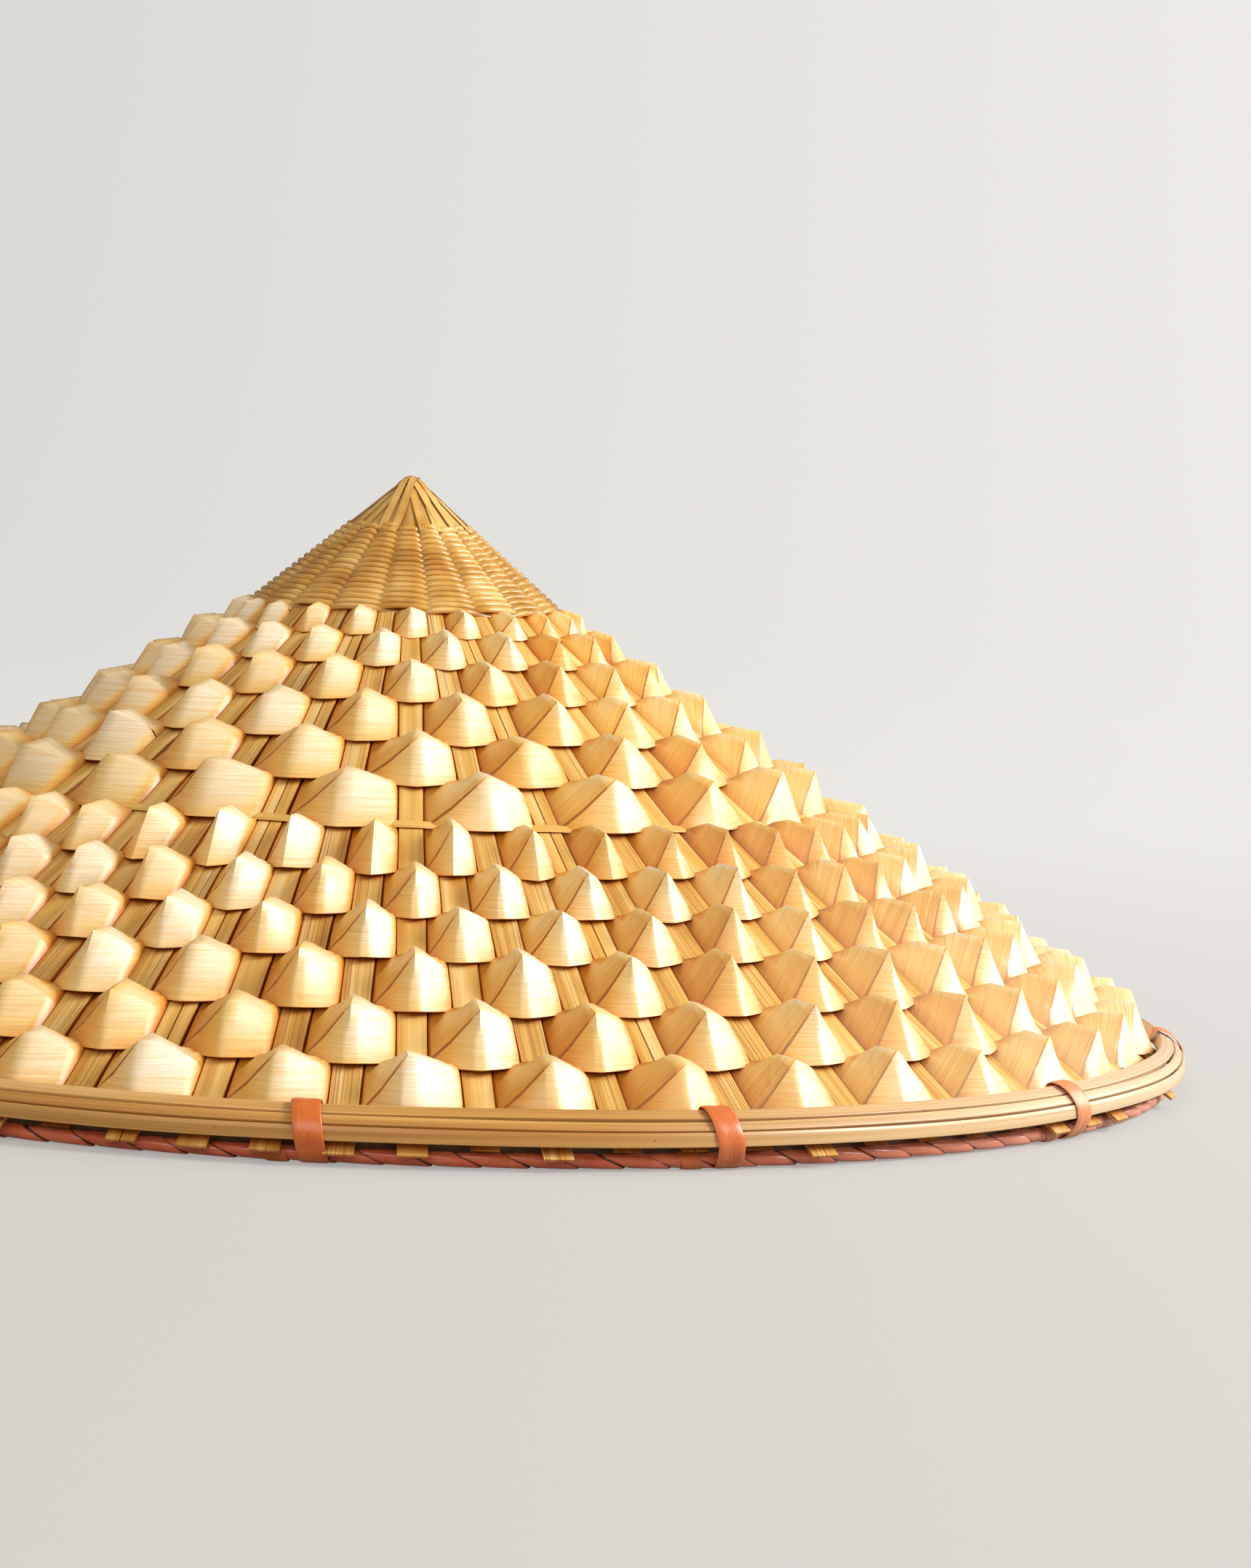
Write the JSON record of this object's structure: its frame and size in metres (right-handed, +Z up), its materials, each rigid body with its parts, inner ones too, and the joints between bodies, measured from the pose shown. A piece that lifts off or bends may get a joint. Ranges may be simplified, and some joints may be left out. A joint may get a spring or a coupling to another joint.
{
  "type": "conical woven hat",
  "caption": "Conical woven bamboo hat: radial stakes, rings of ribbon folded into raised points, fine weft cap, hooped and tied rim, lining and head ring.",
  "frame": {"origin": "on the hat's axis, level with the undersides of the rim ties it rests on", "axes": "+Z up the hat's axis to the apex, -Y towards the front, +X to the wearer's left"},
  "size_m": [0.4214, 0.4214, 0.1487],
  "materials": {
    "stake_bamboo": "satin split bamboo",
    "ribbon_bamboo": "silky shaved bamboo",
    "cap_bamboo": "semi-gloss split bamboo",
    "hoop_bamboo": "satin bamboo strip",
    "wrap_strip": "dyed split-bamboo strip, satin",
    "tie_strip": "dyed split-bamboo strip, satin",
    "core_cane": "plain cane",
    "leaf_lining": "dry leaf, matte",
    "ring_bamboo": "satin bamboo strip"
  },
  "bodies": {
    "root": {"head_ring": "ring_bamboo", "hoop_lower": "hoop_bamboo", "hoop_middle": "hoop_bamboo", "hoop_upper": "hoop_bamboo", "lining": "leaf_lining", "ribbon_lower_1": "ribbon_bamboo", "ribbon_lower_2": "ribbon_bamboo", "ribbon_lower_3": "ribbon_bamboo", "ribbon_lower_4": "ribbon_bamboo", "ribbon_lower_5": "ribbon_bamboo", "ribbon_lower_6": "ribbon_bamboo", "ribbon_upper_1": "ribbon_bamboo", "ribbon_upper_2": "ribbon_bamboo", "ribbon_upper_3": "ribbon_bamboo", "ribbon_upper_4": "ribbon_bamboo", "ribbon_upper_5": "ribbon_bamboo", "ribbon_upper_6": "ribbon_bamboo", "rim_core": "core_cane", "rim_wrap": "wrap_strip", "ring_tie_1": "core_cane", "ring_tie_2": "core_cane", "ring_tie_3": "core_cane", "ring_tie_4": "core_cane", "ring_tie_5": "core_cane", "ring_tie_6": "core_cane", "stakes_inserted": "stake_bamboo", "stakes_main": "stake_bamboo", "tie_band_01": "tie_strip", "tie_band_02": "tie_strip", "tie_band_03": "tie_strip", "tie_band_04": "tie_strip", "tie_band_05": "tie_strip", "tie_band_06": "tie_strip", "tie_band_07": "tie_strip", "tie_band_08": "tie_strip", "tie_band_09": "tie_strip", "tie_band_10": "tie_strip", "tie_band_11": "tie_strip", "tie_band_12": "tie_strip", "weft_cap": "cap_bamboo"}
  },
  "joints": []
}
